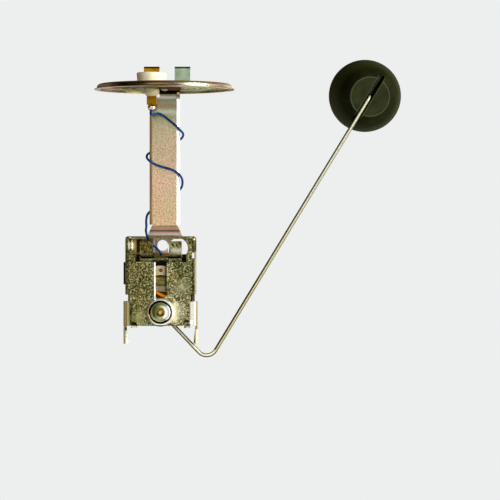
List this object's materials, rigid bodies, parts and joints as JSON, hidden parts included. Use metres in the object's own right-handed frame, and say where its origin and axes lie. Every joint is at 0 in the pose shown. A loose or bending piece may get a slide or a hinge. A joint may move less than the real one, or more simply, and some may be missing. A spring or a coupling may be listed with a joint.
{
  "type": "float level sensor",
  "caption": "Fuel tank sender: round flange with spade terminals, strip stem with a blue lead, resistor case and a pivoting wire arm with a float.",
  "frame": {"origin": "centre of the flange, in the plane of the lip that seats on the tank", "axes": "+Z out of the tank, along the stem; -Y is the open front of the case; +X to the side on which the float hangs"},
  "size_m": [0.1258, 0.0572, 0.1223],
  "materials": {
    "zinc_bright": "bright zinc with a yellow passivate",
    "zinc_pale": "pale zinc plate",
    "zinc_stem": "satin zinc with a pink and yellow passivate",
    "zinc_case": "spangled zinc with an olive passivate",
    "dark_steel": "dark spring steel",
    "wire_steel": "drawn and plated wire",
    "brass": "plain brass",
    "bronze": "spring bronze",
    "silver": "bright contact metal",
    "solder": "solder",
    "brown_eyelet": "browned eyelet",
    "nylon": "ivory nylon",
    "cream_plastic": "cream moulding",
    "card": "brown card",
    "winding": "fine resistance wire",
    "black_plastic": "black moulding",
    "blue_cover": "blue enamelled cover",
    "float_rubber": "matt dark olive moulding"
  },
  "bodies": {
    "sender": {"flange_plate": "zinc_bright", "terminal_bush": "nylon", "bush_washer": "dark_steel", "terminal_blade": "brass", "terminal_solder": "solder", "earth_blade": "zinc_pale", "flange_rivet": "zinc_pale", "stem_bracket": "zinc_stem", "case_cover": "zinc_case", "cross_rod": "zinc_case", "resistor_base": "black_plastic", "resistor_holder": "cream_plastic", "resistor_former": "card", "resistor_winding": "winding", "holder_rivet": "brown_eyelet", "lead_wire": "blue_cover", "lead_solder": "solder", "front_bush": "brass", "rear_bush": "brass", "spring_washer": "dark_steel"},
    "float_arm": {"spindle": "brass", "wiper_hub": "brass", "wiper_blade": "bronze", "wiper_contact": "silver", "cup_washer": "zinc_case", "spindle_clip": "dark_steel", "arm_clamp": "zinc_case", "arm_wire": "wire_steel", "float": "float_rubber", "float_clip": "dark_steel"}
  },
  "joints": [
    {"name": "float_arm_pivot", "type": "hinge", "parent": "sender", "child": "float_arm", "pos_m": [-0.0015, 0.0009, -0.0906], "axis": [0, 1, 0], "range_deg": [0, 87]}
  ]
}
